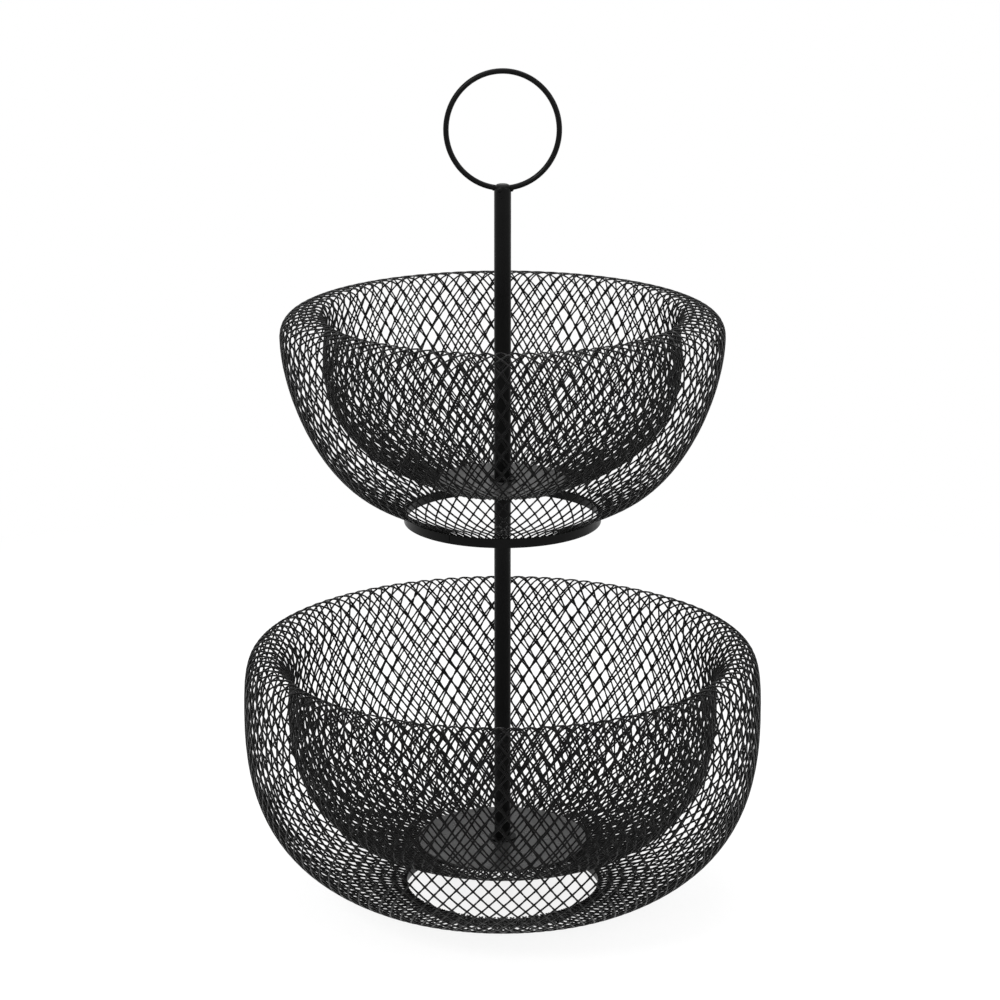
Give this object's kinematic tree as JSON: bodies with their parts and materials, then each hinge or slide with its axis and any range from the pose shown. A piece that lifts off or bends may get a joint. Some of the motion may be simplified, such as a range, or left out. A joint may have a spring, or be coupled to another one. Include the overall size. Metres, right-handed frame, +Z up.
{
  "type": "tiered wire basket",
  "caption": "Two-tier round basket of double-walled black wire mesh on a central pole with a ring handle on top.",
  "frame": {"origin": "on the floor, on the axis of the pole, at the middle of the lower base ring", "axes": "+Z up along the pole; the handle ring lies in the XZ plane and faces the front, -Y"},
  "size_m": [0.29, 0.29, 0.4694],
  "materials": {
    "black_powder_coat": "satin",
    "black_mesh": "satin",
    "satin_disc": "satin",
    "plated_steel": "satin"
  },
  "bodies": {
    "root": {"handle_ring": "black_powder_coat", "pole_top_cap": "black_powder_coat", "upper_pole": "black_powder_coat", "lower_pole": "black_powder_coat", "upper_washer": "black_powder_coat", "lower_washer": "black_powder_coat", "upper_base_ring": "black_powder_coat", "lower_base_ring": "black_powder_coat", "upper_mesh_basket": "black_mesh", "lower_mesh_basket": "black_mesh", "upper_floor_disc": "satin_disc", "lower_floor_disc": "satin_disc", "upper_pole_insert": "plated_steel", "lower_pole_top_insert": "plated_steel", "lower_pole_bottom_insert": "plated_steel", "joining_stud": "plated_steel", "base_screw": "plated_steel", "base_washer": "plated_steel"}
  },
  "joints": []
}
